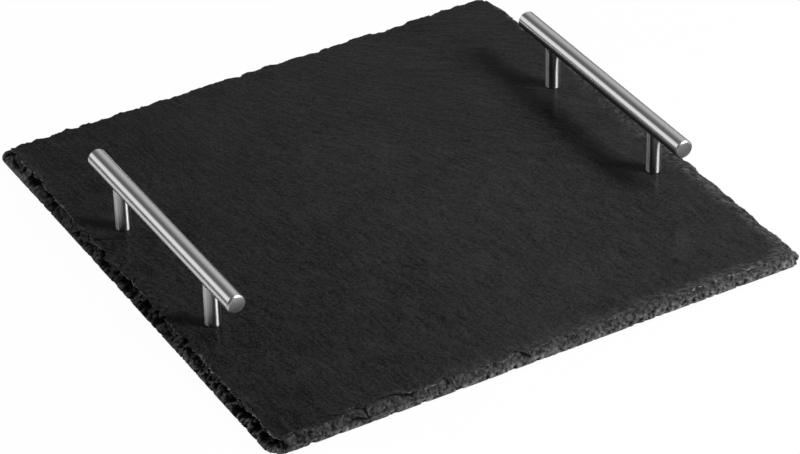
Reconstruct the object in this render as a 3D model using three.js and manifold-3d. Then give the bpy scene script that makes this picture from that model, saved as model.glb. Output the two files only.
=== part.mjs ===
// A square slate serving tray with two round steel bar handles, in millimetres, +Z up.
// Origin: the middle of the tray on the surface it stands on. +X runs from the left handle to the
// right one and +Y runs along the handles, from front to rear.
import * as THREE from 'three';
import { mergeVertices } from 'three/addons/utils/BufferGeometryUtils.js';
import Module from 'manifold-3d';

// Slate board
const slateWidth = 300; // along X
const slateDepth = 300; // along Y
const slateThickness = 5.5;
const slateCornerRadius = 4; // of the top face
const screwHoleDiameter = 5; // drilled right through the slate

// Dressed edge: the slate is trimmed by hand, so it breaks away in layers and scallops from the top
const bevelRun = 4.2; // from the bottom outline in to the top outline, before chips
const edgeStep = 2.5; // spacing of the stations along the outline
const edgeLayers = 3; // cleavage layers that show in the broken edge
const ledgeWidth = 1.1; // flat left on top of a broken layer
const ledgeFall = 0.3; // how far a ledge slopes over its width
const ledgeWander = 1.4; // how far a layer's break line wanders in and out
const ledgeWanderLength = 17; // wavelength of that wandering
const chipPitch = 9; // mean spacing of the scallops
const chipDepth = 1.9; // deepest scallop at the top outline
const nibbleDepth = 0.45; // small bites along the bottom outline

// Larger flakes, struck off the top outline: on which side, the distance of the flake's middle from the
// end where that side starts (sides run anticlockwise from the front), its width and its reach
const largeFlakes = [
  { side: 'front', from: 9, width: 14, reach: 2.6 },
  { side: 'front', from: 36, width: 15, reach: 3.4 },
  { side: 'front', from: 58, width: 30, reach: 2.8 },
  { side: 'front', from: 125, width: 12, reach: 1.8 },
  { side: 'right', from: 20, width: 18, reach: 1.6 },
  { side: 'right', from: 205, width: 16, reach: 1.5 },
  { side: 'rear', from: 60, width: 24, reach: 2 },
  { side: 'rear', from: 190, width: 30, reach: 2.2 },
  { side: 'left', from: 92, width: 11, reach: 1.6 },
  { side: 'left', from: 268, width: 18, reach: 2.4 },
];

// Handles
const barDiameter = 10;
const barLength = 150;
const barEndChamfer = 0.8;
const barTopHeight = 32; // top of the bar above the slate
const handleInset = 23; // bar axis in from the slate's outline
const postDiameter = 8;
const postSpacing = 96; // between the two screw centres of a handle
const postFootChamfer = 0.4;
const seatGap = 0.25; // between the bar and the coped end of a post

// Fixings, all of one thread size
const threadDiameter = 4;
const threadClearance = 0.15; // radial, between a thread and its tapped hole
const tapRunOut = 1; // tapped depth beyond the end of what is screwed in
const threadEndChamfer = 0.5;
const studInBar = 5;
const studInPost = 5;
const screwInPost = 7.5;
const screwHeadDiameter = 9;
const screwHeadHeight = 2.3;
const screwHeadRim = 0.7; // straight part of the head below its dome
const recessSpan = 4.4; // cross recess, end to end
const recessWidth = 1;
const recessDepth = 1.3;
const washerDiameter = 12;
const washerBore = 4.3;
const washerThickness = 1;

// Rubber feet
const footDiameter = 18; // where it sticks to the slate
const footTread = 16; // where it meets the table
const footHeight = 4.5;
const footEdgeRadius = 1;
const footInset = 30; // foot centre in from the slate's outline

// Facets of the round pieces
const barFacets = 40;
const postFacets = 32;
const threadFacets = 16;
const fixingFacets = 24;
const footFacets = 32;

// Places that follow from the sizes
const slateTop = footHeight + slateThickness;
const outlineRadius = slateCornerRadius + bevelRun;
const handleX = slateWidth / 2 - handleInset;
const barAxisHeight = barTopHeight - barDiameter / 2;
const postTopHeight = barAxisHeight - barDiameter / 2;
const footX = slateWidth / 2 - footInset;
const footY = slateDepth / 2 - footInset;
const screwHeadSeat = -slateThickness - washerThickness;
const tappedRadius = threadDiameter / 2 + threadClearance;

const wasm = await Module();
wasm.setup();

// A closed geometry as a solid that can be cut. Triangles that shrink to a line on the axis are dropped.
function toSolid(geometry) {
  const bare = geometry.clone();
  bare.deleteAttribute('normal');
  bare.deleteAttribute('uv');
  const welded = mergeVertices(bare);
  const corners = welded.index.array;
  const triangles = [];
  for (let i = 0; i < corners.length; i += 3) {
    const [a, b, c] = corners.slice(i, i + 3);
    if (a !== b && b !== c && c !== a) {
      triangles.push(a, b, c);
    }
  }
  const vertices = Float32Array.from(welded.attributes.position.array);
  const triVerts = Uint32Array.from(triangles);
  return new wasm.Manifold(new wasm.Mesh({ numProp: 3, vertProperties: vertices, triVerts }));
}

function toGeometry(vertices, triangles) {
  const geometry = new THREE.BufferGeometry();
  geometry.setAttribute('position', new THREE.BufferAttribute(Float32Array.from(vertices), 3));
  geometry.setIndex(Array.from(triangles));
  geometry.computeVertexNormals();
  return geometry;
}

function cut(geometry, ...tools) {
  let solid = toSolid(geometry);
  for (const tool of tools) {
    solid = solid.subtract(toSolid(tool));
  }
  const mesh = solid.getMesh();
  return toGeometry(mesh.vertProperties, mesh.triVerts);
}

// A piece turned about Z, from its profile of [radius, height] points
function turned(profile, facets) {
  const points = profile.map(([radius, height]) => new THREE.Vector2(radius, height));
  return new THREE.LatheGeometry(points, facets).rotateX(Math.PI / 2);
}

function drill(radius, from, to, facets) {
  return turned([[0, from], [radius, from], [radius, to], [0, to]], facets);
}

function steelFinish() {
  return new THREE.MeshStandardMaterial({ color: 0xb8babc, roughness: 0.32, metalness: 1 });
}

function zincFinish() {
  return new THREE.MeshStandardMaterial({ color: 0xa9adb1, roughness: 0.42, metalness: 1 });
}

function slateFinish() {
  return new THREE.MeshStandardMaterial({ color: 0x2e2f31, roughness: 0.78, metalness: 0 });
}

function rubberFinish() {
  return new THREE.MeshStandardMaterial({ color: 0x19191a, roughness: 0.9, metalness: 0 });
}

function piece(name, geometry, material, x, y, z) {
  const mesh = new THREE.Mesh(geometry, material);
  mesh.name = name;
  mesh.position.set(x, y, z);
  return mesh;
}

// Repeatable scatter: a number from 0 to 1 for each whole number and kind of break
function scatter(index, kind) {
  const wave = Math.sin(index * 127.1 + kind * 311.7) * 43758.5453;
  return wave - Math.floor(wave);
}

// The four sides of the bottom outline, anticlockwise from the front, each with its outward direction
const outlineSides = ['front', 'right', 'rear', 'left'].map((name, index) => {
  const facing = (index - 1) * Math.PI / 2;
  const outward = new THREE.Vector2(Math.cos(facing), Math.sin(facing));
  const forward = new THREE.Vector2(-outward.y, outward.x);
  const across = index % 2 === 0 ? slateDepth : slateWidth;
  const whole = index % 2 === 0 ? slateWidth : slateDepth;
  return { name, facing, outward, forward, reach: across / 2, length: whole - 2 * outlineRadius };
});
const cornerLength = outlineRadius * Math.PI / 2;
const outlineLength = outlineSides.reduce((sum, side) => sum + side.length + cornerLength, 0);

// Stations round the bottom outline: a point, its outward direction and its distance along the outline
function edgeStations() {
  const stations = [];
  let along = 0;
  for (const side of outlineSides) {
    const steps = Math.round(side.length / edgeStep);
    for (let i = 0; i < steps; i += 1) {
      const run = side.length * i / steps;
      const point = side.outward.clone().multiplyScalar(side.reach);
      point.addScaledVector(side.forward, run - side.length / 2);
      stations.push({ point, outward: side.outward, along: along + run, side: side.name, run });
    }
    along += side.length;
    const centre = side.outward.clone().multiplyScalar(side.reach - outlineRadius);
    centre.addScaledVector(side.forward, side.length / 2);
    const turns = Math.max(3, Math.round(cornerLength / edgeStep));
    for (let i = 0; i < turns; i += 1) {
      const angle = side.facing + Math.PI / 2 * i / turns;
      const outward = new THREE.Vector2(Math.cos(angle), Math.sin(angle));
      const point = centre.clone().addScaledVector(outward, outlineRadius);
      stations.push({ point, outward, along: along + cornerLength * i / turns, side: 'corner', run: 0 });
    }
    along += cornerLength;
  }
  return stations;
}

// Levels up the edge: each cleavage layer breaks on a leaning face, then leaves a ledge below the next
function edgeLevels() {
  const rise = slateThickness / edgeLayers;
  const lean = (bevelRun - ledgeWidth * (edgeLayers - 1)) / edgeLayers;
  const levels = [];
  for (let layer = 0; layer < edgeLayers; layer += 1) {
    const foot = layer * (lean + ledgeWidth);
    const last = layer === edgeLayers - 1;
    levels.push({ layer, height: layer * rise, run: foot });
    levels.push({ layer, height: (layer + 1) * rise - (last ? 0 : ledgeFall), run: foot + lean });
  }
  return levels;
}

// A slow wander along the outline, from -0.5 to 0.5, that joins up with itself
function wander(along, length, kind) {
  const cells = Math.round(outlineLength / length);
  const place = along / outlineLength * cells;
  const cell = Math.floor(place);
  const blend = THREE.MathUtils.smoothstep(place - cell, 0, 1);
  return THREE.MathUtils.lerp(scatter(cell % cells, kind), scatter((cell + 1) % cells, kind), blend) - 0.5;
}

// A scallop is deepest in its middle and at the top outline, and runs out at some level below
function scallop(offset, halfWidth, depth, runsOutAt, level) {
  const across = Math.max(0, 1 - (offset / halfWidth) ** 2);
  const up = THREE.MathUtils.clamp((level - runsOutAt) / (1 - runsOutAt), 0, 1);
  return depth * across * Math.sqrt(up);
}

function chipBite(along, level) {
  const cells = Math.round(outlineLength / chipPitch);
  const pitch = outlineLength / cells;
  const here = Math.floor(along / pitch);
  let bite = 0;
  for (let cell = here - 1; cell <= here + 1; cell += 1) {
    const id = (cell + cells) % cells;
    const middle = (cell + 0.5 + 0.7 * (scatter(id, 1) - 0.5)) * pitch;
    const halfWidth = pitch * (0.4 + 0.45 * scatter(id, 2));
    const depth = chipDepth * (0.2 + 0.8 * scatter(id, 3) ** 2);
    bite = Math.max(bite, scallop(along - middle, halfWidth, depth, 0.6 * scatter(id, 4), level));
  }
  return bite;
}

function flakeBite(station, level) {
  let bite = 0;
  for (const flake of largeFlakes) {
    if (flake.side === station.side) {
      bite = Math.max(bite, scallop(station.run - flake.from, flake.width / 2, flake.reach, 0.25, level));
    }
  }
  return bite;
}

function edgeInset(station, index, level) {
  if (level.height === 0) {
    return nibbleDepth * scatter(index, 5) ** 2;
  }
  const share = level.height / slateThickness;
  const stray = ledgeWander * level.layer / edgeLayers * wander(station.along, ledgeWanderLength, 6 + level.layer);
  return level.run + stray + Math.max(chipBite(station.along, share), flakeBite(station, share));
}

function circle(x, y, radius, facets) {
  const points = [];
  for (let i = 0; i < facets; i += 1) {
    const angle = 2 * Math.PI * i / facets;
    points.push(new THREE.Vector2(x + radius * Math.cos(angle), y + radius * Math.sin(angle)));
  }
  return points;
}

// The board is lofted through the rings of its broken edge and closed by a flat face above and below,
// both pierced by the screw holes. The serving field between the handles is a clean face of its own.
function slateBoard() {
  const stations = edgeStations();
  const levels = edgeLevels();
  const vertices = [];
  const triangles = [];
  const addPoint = (x, y, z) => vertices.push(x, y, z) / 3 - 1;
  const addQuad = (a, b, c, d) => triangles.push(a, b, c, a, c, d);
  const rings = levels.map((level) => stations.map((station, index) => {
    const inset = edgeInset(station, index, level);
    const point = station.point.clone().addScaledVector(station.outward, -inset);
    return addPoint(point.x, point.y, level.height);
  }));
  for (let ring = 0; ring + 1 < rings.length; ring += 1) {
    for (let i = 0; i < stations.length; i += 1) {
      const next = (i + 1) % stations.length;
      addQuad(rings[ring][i], rings[ring][next], rings[ring + 1][next], rings[ring + 1][i]);
    }
  }

  const at = (index) => new THREE.Vector2(vertices[3 * index], vertices[3 * index + 1]);
  const fillFace = (outer, holes, upward) => {
    const loops = [outer, ...holes];
    const order = loops.flat();
    const faces = THREE.ShapeUtils.triangulateShape(outer.map(at), holes.map((hole) => hole.map(at)));
    for (const [a, b, c] of faces.map((face) => face.map((corner) => order[corner]))) {
      const isUp = at(b).sub(at(a)).cross(at(c).sub(at(a))) > 0;
      triangles.push(...(isUp === upward ? [a, b, c] : [a, c, b]));
    }
  };

  const holesBelow = [];
  const holesAbove = [];
  for (const x of [-handleX, handleX]) {
    for (const y of [-postSpacing / 2, postSpacing / 2]) {
      const rim = circle(x, y, screwHoleDiameter / 2, threadFacets);
      const below = rim.map((point) => addPoint(point.x, point.y, 0));
      const above = rim.map((point) => addPoint(point.x, point.y, slateThickness));
      rim.forEach((_, i) => {
        const next = (i + 1) % rim.length;
        addQuad(below[next], below[i], above[i], above[next]);
      });
      holesBelow.push(below);
      holesAbove.push(above);
    }
  }
  const fieldX = handleX - barDiameter;
  const fieldY = slateDepth / 2 - footInset;
  const field = [[-fieldX, -fieldY], [fieldX, -fieldY], [fieldX, fieldY], [-fieldX, fieldY]];
  const fieldCorners = field.map(([x, y]) => addPoint(x, y, slateThickness));
  fillFace(rings[0], holesBelow, false);
  fillFace(rings.at(-1), [fieldCorners, ...holesAbove], true);
  fillFace(fieldCorners, [], true);
  return toGeometry(vertices, triangles);
}

// The bar lies along Y, with a blind tapped hole in its underside over each post
function handleBar() {
  const radius = barDiameter / 2;
  const half = barLength / 2;
  const rim = radius - barEndChamfer;
  const profile = [
    [0, -half], [rim, -half], [radius, barEndChamfer - half],
    [radius, half - barEndChamfer], [rim, half], [0, half],
  ];
  const bar = turned(profile, barFacets).rotateX(Math.PI / 2);
  const tapped = [-postSpacing / 2, postSpacing / 2].map((y) => {
    const top = studInBar + tapRunOut - radius;
    return drill(tappedRadius, -barDiameter, top, threadFacets).translate(0, y, 0);
  });
  return cut(bar, ...tapped);
}

// A post stands on the slate, is tapped at both ends and is coped to the round of the bar
function handlePost() {
  const radius = postDiameter / 2;
  const profile = [
    [0, 0], [radius - postFootChamfer, 0], [radius, postFootChamfer],
    [radius, barAxisHeight], [0, barAxisHeight],
  ];
  const cope = drill(barDiameter / 2 + seatGap, -postDiameter, postDiameter, barFacets);
  cope.rotateX(Math.PI / 2).translate(0, 0, barAxisHeight);
  const forScrew = drill(tappedRadius, -postDiameter, screwInPost + tapRunOut, threadFacets);
  const forStud = drill(tappedRadius, postTopHeight - studInPost - tapRunOut, barTopHeight, threadFacets);
  return cut(turned(profile, postFacets), cope, forScrew, forStud);
}

// The stud starts at its own lower end
function jointStud() {
  const radius = threadDiameter / 2;
  const tip = radius - threadEndChamfer;
  const length = studInPost + studInBar;
  const profile = [
    [0, 0], [tip, 0], [radius, threadEndChamfer],
    [radius, length - threadEndChamfer], [tip, length], [0, length],
  ];
  return turned(profile, threadFacets);
}

// The screw points up from the seat of its domed head, which has a cross recess
function handleScrew() {
  const radius = threadDiameter / 2;
  const headRadius = screwHeadDiameter / 2;
  const length = washerThickness + slateThickness + screwInPost;
  const dome = screwHeadHeight - screwHeadRim;
  const profile = [];
  const domeSteps = 5;
  for (let i = 0; i <= domeSteps; i += 1) {
    const angle = Math.PI / 2 * i / domeSteps;
    profile.push([headRadius * Math.sin(angle), -screwHeadRim - dome * Math.cos(angle)]);
  }
  profile.push([headRadius, 0], [radius, 0], [radius, length - threadEndChamfer]);
  profile.push([radius - threadEndChamfer, length], [0, length]);
  const slots = [0, 1].map((turn) => {
    const slot = new THREE.BoxGeometry(recessSpan, recessWidth, 2 * recessDepth);
    return slot.rotateZ(turn * Math.PI / 2).translate(0, 0, -screwHeadHeight);
  });
  return cut(turned(profile, fixingFacets), ...slots);
}

function flatWasher() {
  const inner = washerBore / 2;
  const outer = washerDiameter / 2;
  const section = [[inner, 0], [outer, 0], [outer, washerThickness], [inner, washerThickness], [inner, 0]];
  return turned(section, fixingFacets);
}

// A foot tapers a little towards the table and has a rounded lower edge
function rubberFoot() {
  const tread = footTread / 2;
  const profile = [[0, 0]];
  const edgeSteps = 4;
  for (let i = 0; i <= edgeSteps; i += 1) {
    const angle = Math.PI / 2 * i / edgeSteps;
    const out = footEdgeRadius * Math.sin(angle);
    profile.push([tread - footEdgeRadius + out, footEdgeRadius * (1 - Math.cos(angle))]);
  }
  profile.push([footDiameter / 2, footHeight], [0, footHeight]);
  return turned(profile, footFacets);
}

// A handle in its own frame: the slate's top face at Z 0, the bar over X 0
function barHandle(side) {
  const handle = new THREE.Group();
  handle.add(piece(`${side}_handle_bar`, handleBar(), steelFinish(), 0, 0, barAxisHeight));
  for (const [end, y] of [['front', -postSpacing / 2], ['rear', postSpacing / 2]]) {
    const name = (kind) => `${side}_${end}_${kind}`;
    handle.add(piece(name('post'), handlePost(), steelFinish(), 0, y, 0));
    handle.add(piece(name('stud'), jointStud(), zincFinish(), 0, y, postTopHeight - studInPost));
    handle.add(piece(name('screw'), handleScrew(), zincFinish(), 0, y, screwHeadSeat));
    handle.add(piece(name('washer'), flatWasher(), zincFinish(), 0, y, screwHeadSeat));
  }
  return handle;
}

const tray = new THREE.Group();
tray.add(piece('slate_board', slateBoard(), slateFinish(), 0, 0, footHeight));
for (const [side, x] of [['left', -handleX], ['right', handleX]]) {
  const handle = barHandle(side);
  handle.position.set(x, 0, slateTop);
  tray.add(handle);
}
for (const [end, y] of [['front', -footY], ['rear', footY]]) {
  for (const [side, x] of [['left', -footX], ['right', footX]]) {
    tray.add(piece(`${end}_${side}_foot`, rubberFoot(), rubberFinish(), x, y, 0));
  }
}

export default tray;
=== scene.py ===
# %% [markdown]
# # A slate serving tray with two steel bar handles
# The tray is a square of natural slate, split thin along its grain and chipped to size by hand. A round
# stainless steel bar stands over each of two sides on a pair of short legs, and each leg is held by a screw
# from below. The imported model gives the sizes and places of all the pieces. This lesson gives them the
# finer shapes and the finishes that the eye expects, one piece at a time.

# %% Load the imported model
import math

import bpy
import numpy as np
from mathutils import Matrix, Vector
from mathutils.bvhtree import BVHTree


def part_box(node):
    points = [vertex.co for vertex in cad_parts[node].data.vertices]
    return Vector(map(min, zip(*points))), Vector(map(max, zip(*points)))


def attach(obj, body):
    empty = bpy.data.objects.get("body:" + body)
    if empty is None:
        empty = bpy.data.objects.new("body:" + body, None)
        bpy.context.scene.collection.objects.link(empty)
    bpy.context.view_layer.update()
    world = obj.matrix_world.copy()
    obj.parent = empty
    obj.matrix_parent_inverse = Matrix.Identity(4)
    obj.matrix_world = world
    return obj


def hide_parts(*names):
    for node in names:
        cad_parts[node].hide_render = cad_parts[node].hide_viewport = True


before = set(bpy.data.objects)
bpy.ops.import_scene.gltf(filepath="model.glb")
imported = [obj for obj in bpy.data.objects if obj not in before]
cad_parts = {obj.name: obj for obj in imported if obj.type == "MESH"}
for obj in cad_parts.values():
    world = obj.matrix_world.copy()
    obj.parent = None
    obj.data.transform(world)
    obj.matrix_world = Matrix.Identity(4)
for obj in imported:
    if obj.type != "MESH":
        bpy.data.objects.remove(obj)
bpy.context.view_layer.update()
MM = 0.001
bpy.context.scene.view_settings.view_transform = "Standard"

# %% [markdown]
# The camera comes first, because every later choice is judged through it. The view is a long lens from the
# front left, looking down at about 34 degrees, with a slight roll. The three angles and the place were
# found from the straight lines of the tray: the slate's four sides and the two bars.

# %% Camera
FOCAL_PX, IMAGE_WIDTH_PX, SENSOR_MM = 3480.1, 800, 36.0
VIEW_AZIMUTH, VIEW_ELEVATION, VIEW_ROLL = (math.radians(a) for a in (-29.579, 34.304, -1.211))
CAMERA_AT = (-718.12 * MM, -1273.67 * MM, 989.85 * MM)

camera_data = bpy.data.cameras.new("tray_camera")
camera_data.sensor_fit = "HORIZONTAL"
camera_data.sensor_width = SENSOR_MM
camera_data.lens = FOCAL_PX * SENSOR_MM / IMAGE_WIDTH_PX
camera = bpy.data.objects.new("tray_camera", camera_data)
bpy.context.collection.objects.link(camera)

toward_camera = Vector((
    math.sin(VIEW_AZIMUTH) * math.cos(VIEW_ELEVATION),
    -math.cos(VIEW_AZIMUTH) * math.cos(VIEW_ELEVATION),
    math.sin(VIEW_ELEVATION),
))
level_right = Vector((0, 0, 1)).cross(toward_camera).normalized()
level_up = toward_camera.cross(level_right)
right = math.cos(VIEW_ROLL) * level_right + math.sin(VIEW_ROLL) * level_up
up = toward_camera.cross(right)
camera.matrix_world = Matrix((
    (right.x, up.x, toward_camera.x, CAMERA_AT[0]),
    (right.y, up.y, toward_camera.y, CAMERA_AT[1]),
    (right.z, up.z, toward_camera.z, CAMERA_AT[2]),
    (0, 0, 0, 1),
))
bpy.context.scene.camera = camera
print("lens", round(camera_data.lens, 1), "mm")

# %% [markdown]
# Two small tools serve every material below. Colours are written as sRGB hex values, the way a colour
# picker shows them, and one function turns them into the linear numbers that shaders work in. A second
# function adds a node, sets it, and links its inputs, so that a material reads as a list of what is in it.

# %% Colour and node tools
def linear(hex_code):
    """An sRGB hex colour as the linear RGBA that shaders take."""
    channels = [int(hex_code[i:i + 2], 16) / 255 for i in (1, 3, 5)]
    return [c / 12.92 if c <= 0.04045 else ((c + 0.055) / 1.055) ** 2.4 for c in channels] + [1.0]


def add_node(tree, kind, inputs=None, **settings):
    """Add a shader node; each input takes a value or another node's output socket."""
    node = tree.nodes.new("ShaderNode" + kind)
    for name, value in settings.items():
        setattr(node, name, value)
    for socket, value in (inputs or {}).items():
        if isinstance(value, bpy.types.NodeSocket):
            tree.links.new(value, node.inputs[socket])
        else:
            node.inputs[socket].default_value = value
    return node


def new_material(name):
    """An empty node material, and its tree."""
    material = bpy.data.materials.new(name)
    material.use_nodes = True
    material.node_tree.nodes.clear()
    return material, material.node_tree


print("tools ready, mid grey is", round(linear("#808080")[0], 3))

# %% [markdown]
# Slate is clay stone pressed into thin parallel sheets, and a board of it is split along them, which leaves
# a "riven" face: almost black, matt with a faint silky sheen, and covered with fine ridges that flow one
# way. Here they run from front to back, and lean over to the left more and more towards the right rear
# corner, so the pattern is drawn on a grid that is bent the same way.

# %% Grain of the riven slate
riven_slate, tree = new_material("riven_slate")
place = add_node(tree, "TexCoord").outputs["Object"]
parts = add_node(tree, "SeparateXYZ", {0: place}).outputs
to_back = add_node(tree, "MapRange", {0: parts["Y"], 1: -30 * MM, 2: 150 * MM}).outputs[0]
to_right = add_node(tree, "MapRange", {
    0: parts["X"], 1: -90 * MM, 2: 70 * MM, 3: 0.0, 4: 144 * MM,
}).outputs[0]
bend = add_node(tree, "Math", {0: to_back, 1: 2.0}, operation="POWER").outputs[0]
tilt = add_node(tree, "Math", {0: parts["Y"], 1: 0.15, 2: parts["X"]}, operation="MULTIPLY_ADD").outputs[0]
lean = add_node(tree, "Math", {0: bend, 1: to_right, 2: tilt}, operation="MULTIPLY_ADD").outputs[0]
wander = add_node(tree, "TexNoise", {"Vector": place, "Scale": 1 / (18 * MM), "Detail": 2.0}).outputs[0]
across = add_node(tree, "Math", {0: wander, 1: 9 * MM, 2: lean}, operation="MULTIPLY_ADD").outputs[0]
flow = add_node(tree, "CombineXYZ", {0: across, 1: parts["Y"], 2: parts["Z"]}).outputs[0]

# Width and length in mm of short flecks, of long thin lines, and of the broad sheets under them.
patterns = []
for width, length, detail in ((1.0, 2.1, 3.0), (1.6, 16, 2.0), (5, 16, 3.0)):
    per_metre = (1 / (width * MM), 1 / (length * MM), 1 / (width * MM))
    scaled = add_node(tree, "VectorMath", {0: flow, 1: per_metre}, operation="MULTIPLY").outputs[0]
    patterns.append(add_node(tree, "TexNoise", {
        "Vector": scaled, "Scale": 1.0, "Detail": detail, "Roughness": 0.6,
    }).outputs[0])
flecks, lines, broad = patterns
fine = add_node(tree, "Mix", {0: 0.38, 2: flecks, 3: lines}).outputs[0]
# Mineral grit is finer than this, but about 0.9 mm is the finest that shows at this size.
grit = add_node(tree, "TexNoise", {"Vector": place, "Scale": 1 / (0.9 * MM), "Detail": 2.0}).outputs[0]
stain = add_node(tree, "TexNoise", {"Vector": place, "Scale": 1 / (40 * MM), "Detail": 3.0}).outputs[0]
print("grain of", len(patterns), "patterns, with grit and stains")

# %% [markdown]
# The split face is dark, with lighter ridges, and the grit and slow stains on them, and it is painted darker
# towards the left as painted shade. The chipped edge is another stone to the eye: paler on the ridges, where
# it is crushed, with painted highlights on them, and painted black in the hollows as painted shade. The mesh
# says later, point by point, where the stone is broken, how far it stands out there, and where it is bruised
# to a pale powder with a painted glint.

# %% Colour of the riven slate
ridge_tone = add_node(tree, "Math", {0: broad, 1: 0.25, 2: fine}, operation="MULTIPLY_ADD").outputs[0]
grit_tone = add_node(tree, "Math", {0: grit, 1: 0.6, 2: ridge_tone}, operation="MULTIPLY_ADD").outputs[0]
stain_tone = add_node(tree, "Math", {0: stain, 1: 0.18, 2: grit_tone}, operation="MULTIPLY_ADD").outputs[0]
# Painted shade: the face is made darker towards its left side, standing in for the weaker light there.
painted_shade_left = add_node(tree, "MapRange", {0: parts["X"], 1: -120 * MM, 2: 0.0, 3: -0.1, 4: 0.0}).outputs[0]
whole_tone = add_node(tree, "Math", {0: stain_tone, 1: painted_shade_left}, operation="ADD").outputs[0]
face_tone = add_node(tree, "MapRange", {0: whole_tone, 1: 0.77, 2: 1.26}).outputs[0]
face_colour = add_node(tree, "Mix", {0: face_tone, 6: linear("#0f0f0f"), 7: linear("#363636")},
                       data_type="RGBA").outputs[2]

# Painted shade and highlight: this mark paints the edge black in hollows and cracks and pale on ridges.
proud = add_node(tree, "Attribute", attribute_name="proud").outputs["Fac"]
fleck = add_node(tree, "MapRange", {0: grit, 1: 0.3, 2: 0.7, 3: 0.75, 4: 1.25}).outputs[0]
edge_tone = add_node(tree, "Math", {0: proud, 1: fleck}, operation="MULTIPLY", use_clamp=True).outputs[0]
edge_colour = add_node(tree, "Mix", {0: edge_tone, 6: linear("#0a0a0a"), 7: linear("#6c6c6c")},
                       data_type="RGBA").outputs[2]
broken = add_node(tree, "Attribute", attribute_name="broken").outputs["Fac"]
stone = add_node(tree, "Mix", {0: broken, 6: face_colour, 7: edge_colour}, data_type="RGBA").outputs[2]
# Painted highlight: the pale bruise colour is crushed stone and also stands in for glints on the rim and
# ridges.
bruised = add_node(tree, "Attribute", attribute_name="bruised").outputs["Fac"]
colour = add_node(tree, "Mix", {0: bruised, 6: stone, 7: linear("#b0b0b0")}, data_type="RGBA").outputs[2]
print("colour of the slate:", len(tree.nodes), "nodes so far")

# %% [markdown]
# The broad ridges end in thin steps of about 0.04 mm, where one sheet of the stone breaks off on the next.
# Such fine relief is a bump in the material, and the larger relief is in the mesh. A dry split face
# scatters most of its mirror light in its own pits, so the specular level is low and only the legs just
# above it are mirrored.

# %% Relief and sheen of the riven slate
FINE_RELIEF = 0.06 * MM
FACE_SHEEN, EDGE_SHEEN, EDGE_ROUGHNESS = 0.026, 0.055, 0.65
sheets = add_node(tree, "MapRange", {0: broad, 1: 0.2, 2: 0.8, 3: 0.0, 4: 7.0, "Steps": 10.0},
                  interpolation_type="STEPPED").outputs[0]
ridges = add_node(tree, "Math", {0: fine, 1: 1.0, 2: sheets}, operation="MULTIPLY_ADD").outputs[0]
height = add_node(tree, "Math", {0: grit, 1: 0.5, 2: ridges}, operation="MULTIPLY_ADD").outputs[0]
bump = add_node(tree, "Bump", {"Height": height, "Strength": 1.0, "Distance": FINE_RELIEF}).outputs[0]
gloss = add_node(tree, "MapRange", {0: fine, 1: 0.3, 2: 0.7, 3: 0.24, 4: 0.18}).outputs[0]
rough = add_node(tree, "Mix", {0: broken, 2: gloss, 3: EDGE_ROUGHNESS}).outputs[0]
sheen = add_node(tree, "Mix", {0: broken, 2: FACE_SHEEN, 3: EDGE_SHEEN}).outputs[0]
shader = add_node(tree, "BsdfPrincipled", {
    "Base Color": colour, "Roughness": rough, "IOR": 1.5, "Specular IOR Level": sheen, "Normal": bump,
}).outputs[0]
add_node(tree, "OutputMaterial", {0: shader})
print("riven slate:", len(tree.nodes), "nodes")

# %% [markdown]
# The slate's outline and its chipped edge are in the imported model, but with few faces. A denser board is
# built on top of that, with smaller scars added. Their patterns come from scattered cells. Flat-sided scars
# have their own depth and slopes in each cell, because struck stone breaks in small flats and not in smooth
# waves, and scooped ones overlap, so that sharp ridges stand between them.

# %% Repeatable scatter, smooth swells and scars
def grows(value, start, length):
    """0 up to the start, and from there a steady rise to 1 over this length."""
    return np.clip((value - start) / length, 0, 1)


def fades(value, end, length):
    """1, and then a steady fall over this length, down to 0 at the end."""
    return np.clip((end - value) / length, 0, 1)


def scatter(i, j, kind):
    """A repeatable number from 0 to 1 for each cell of a pattern, and another set for each kind."""
    wave = np.sin(i * 12.9898 + j * 78.233 + kind * 37.719) * 43758.5453
    return wave - np.floor(wave)


def swell(x, y, size, kind):
    """A smooth rise and fall from 0 to 1, over patches of about this size."""
    i, j = np.floor(x / size), np.floor(y / size)
    u, v = x / size - i, y / size - j
    u, v = u * u * (3 - 2 * u), v * v * (3 - 2 * v)
    near = scatter(i, j, kind) * (1 - u) + scatter(i + 1, j, kind) * u
    far = scatter(i, j + 1, kind) * (1 - u) + scatter(i + 1, j + 1, kind) * u
    return near * (1 - v) + far * v


def cells_round(along, across, length, height, kind):
    """Each cell round a point, and the way from the cell's own scattered middle to the point, in cells."""
    i0, j0 = np.floor(along / length), np.floor(across / height)
    for di in (-1, 0, 1):
        for dj in (-1, 0, 1):
            i, j = i0 + di, j0 + dj
            u = along / length - i - scatter(i, j, kind)
            v = across / height - j - scatter(i, j, kind + 1)
            yield i, j, u, v


def scars(along, across, length, height, kind):
    """The depth, about 0 to 1, of flat scars of this length and height."""
    nearest = np.full(along.shape, np.inf)
    depth = np.zeros(along.shape)
    for i, j, u, v in cells_round(along, across, length, height, kind):
        flat = (scatter(i, j, kind + 2) + u * (scatter(i, j, kind + 3) - 0.5) * 1.4
                + v * (scatter(i, j, kind + 4) - 0.5) * 1.4)
        closer = u * u + v * v < nearest
        depth = np.where(closer, flat, depth)
        nearest = np.where(closer, u * u + v * v, nearest)
    return depth


def scoops(along, across, length, height, kind):
    """The depth, 0 to 1, of scooped scars that overlap: the deepest wins, which leaves sharp ridges."""
    depth = np.zeros(along.shape)
    for i, j, u, v in cells_round(along, across, length, height, kind):
        size = 0.6 + 0.4 * scatter(i, j, kind + 2)
        deepest = 0.35 + 0.65 * scatter(i, j, kind + 3)
        depth = np.maximum(depth, deepest * (1 - (u * u + v * v) / size ** 2))
    return depth


print("scar depths from", np.round(scars(np.arange(9.0), np.arange(9.0), 2.5, 1.5, 1), 2).tolist())

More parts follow.
